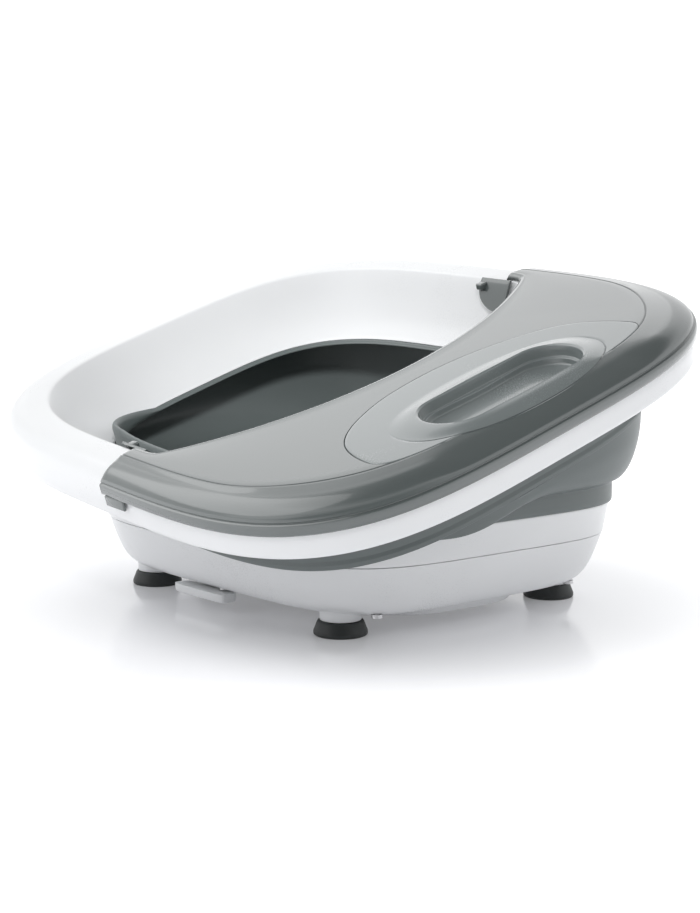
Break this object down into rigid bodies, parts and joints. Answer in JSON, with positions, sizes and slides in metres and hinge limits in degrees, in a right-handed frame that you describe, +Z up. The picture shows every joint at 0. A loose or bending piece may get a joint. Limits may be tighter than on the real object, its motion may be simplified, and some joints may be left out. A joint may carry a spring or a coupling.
{
  "type": "collapsible foot spa basin",
  "caption": "Oval foot bath with a squat base on rubber feet, folding soft walls, a wide rounded rim stored at a tilt, and a curved splash guard with a handle slot.",
  "frame": {"origin": "middle of the stored shape's footprint box, on the floor under the rubber feet", "axes": "+Z up, -Y towards the toe end with the splash guard, +Y towards the heel end, +X towards the side whose soft walls are stored open"},
  "size_m": [0.3958, 0.4737, 0.234],
  "materials": {
    "white_shell": "smooth, low gloss white moulding",
    "grey_guard": "glossy mid-grey moulding",
    "light_grey": "satin light grey moulding",
    "soft_grey": "satin soft grey elastomer",
    "black_rubber": "matt dark rubber",
    "steel": "plain steel",
    "alu": "plain aluminium",
    "black_plastic": "matt black moulding",
    "board": "green circuit board with dark parts",
    "motor_metal": "drawn can",
    "tub_grey": "satin mid-dark grey moulding"
  },
  "bodies": {
    "base": {"base_pan": "white_shell", "base_band": "white_shell", "bottom_cover": "white_shell", "cover_screws": "steel", "foot_pads": "black_rubber", "foot_screws": "steel", "tub": "tub_grey", "tub_screws": "steel", "heater_plate": "alu", "thermal_cutout": "black_plastic", "control_board": "board", "motor_can": "motor_metal", "motor_clamp": "white_shell", "button_boot": "black_rubber", "button_switch": "black_plastic", "roller_cradles": "light_grey", "roller_axles": "steel", "cord_gland": "black_plastic", "gland_nut": "black_plastic", "lower_bellows": "soft_grey"},
    "ring": {"middle_ring": "soft_grey", "upper_bellows": "soft_grey"},
    "rim": {"rim_frame": "white_shell", "rim_retainer": "soft_grey", "rim_screws": "steel"},
    "guard": {"splash_guard": "grey_guard", "handle_pocket": "light_grey", "guard_clips": "grey_guard", "guard_pads": "black_rubber"},
    "button": {"button_cap": "light_grey"},
    "left_roller": {"roller_left": "white_shell"},
    "right_roller": {"roller_right": "white_shell"},
    "weight": {"shaft_weight": "steel"}
  },
  "joints": [
    {"name": "fold_right", "type": "hinge", "parent": "base", "child": "ring", "pos_m": [-0.12923, -0.02628, 0.09201], "axis": [0.2113, -0.9774, 0], "range_deg": [-18.97, 0], "deforming": ["lower_bellows"]},
    {"name": "fold_left", "type": "hinge", "parent": "ring", "child": "rim", "pos_m": [0.16748, 0.03787, 0.19636], "axis": [-0.2113, 0.9774, 0], "range_deg": [0, 18.97], "deforming": ["upper_bellows"]},
    {"name": "guard_lift", "type": "slide", "parent": "rim", "child": "guard", "axis": [-0.3177, -0.0687, 0.9457], "range_m": [0, 0.08]},
    {"name": "button_press", "type": "slide", "parent": "base", "child": "button", "axis": [0, 0, -1], "range_m": [0, 0.003], "stiffness_N_per_m": 600, "springref_m": -0.0005},
    {"name": "roller_left_spin", "type": "hinge", "parent": "base", "child": "left_roller", "pos_m": [-0.0406, 0.0158, 0.063], "axis": [1, 0, 0], "continuous": true},
    {"name": "roller_right_spin", "type": "hinge", "parent": "base", "child": "right_roller", "pos_m": [0.0674, 0.0158, 0.063], "axis": [1, 0, 0], "continuous": true},
    {"name": "motor_spin", "type": "hinge", "parent": "base", "child": "weight", "pos_m": [0.0334, 0.0538, 0.031], "axis": [1, 0, 0], "continuous": true}
  ]
}
